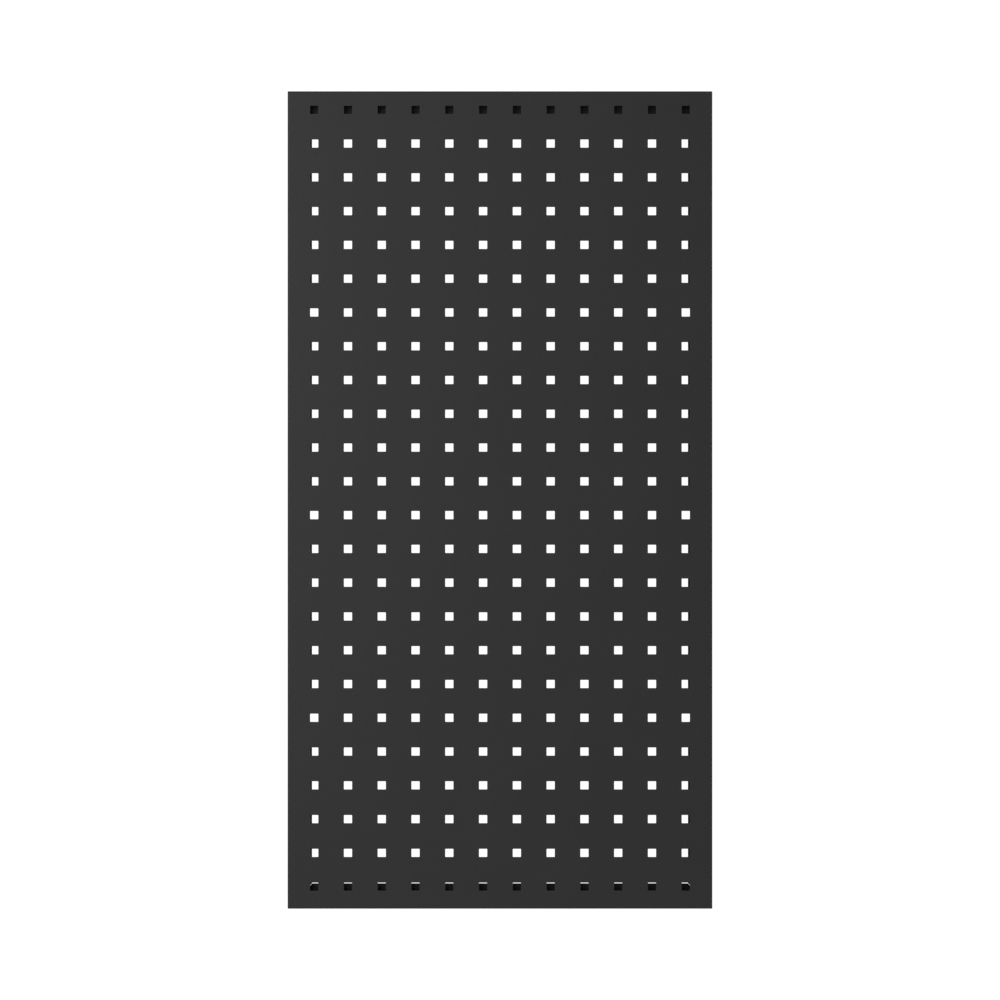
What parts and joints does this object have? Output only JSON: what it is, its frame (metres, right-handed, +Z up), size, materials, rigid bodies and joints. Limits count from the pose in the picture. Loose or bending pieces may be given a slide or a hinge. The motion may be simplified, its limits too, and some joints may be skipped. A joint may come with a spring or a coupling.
{
  "type": "perforated back panel",
  "caption": "Perforated steel back panel for gondola shelving: a folded sheet with a square grid of square hook holes, mitred return lips behind and threaded clinch nuts in its sides.",
  "frame": {"origin": "centre of the rear plane, on which the four return lips lie and where the panel meets what holds it", "axes": "+X to the right seen from the front, +Y out of the rear plane and away from the perforated face, +Z up"},
  "size_m": [0.478, 0.018, 0.92],
  "materials": {
    "powder_coated_steel": "satin powder coat, charcoal black, fine texture",
    "zinc_plated_steel": "bright zinc plating"
  },
  "bodies": {
    "root": {"perforated_panel": "powder_coated_steel", "clinch_nut_left_upper": "zinc_plated_steel", "clinch_nut_left_middle": "zinc_plated_steel", "clinch_nut_left_lower": "zinc_plated_steel", "clinch_nut_right_upper": "zinc_plated_steel", "clinch_nut_right_middle": "zinc_plated_steel", "clinch_nut_right_lower": "zinc_plated_steel"}
  },
  "joints": []
}
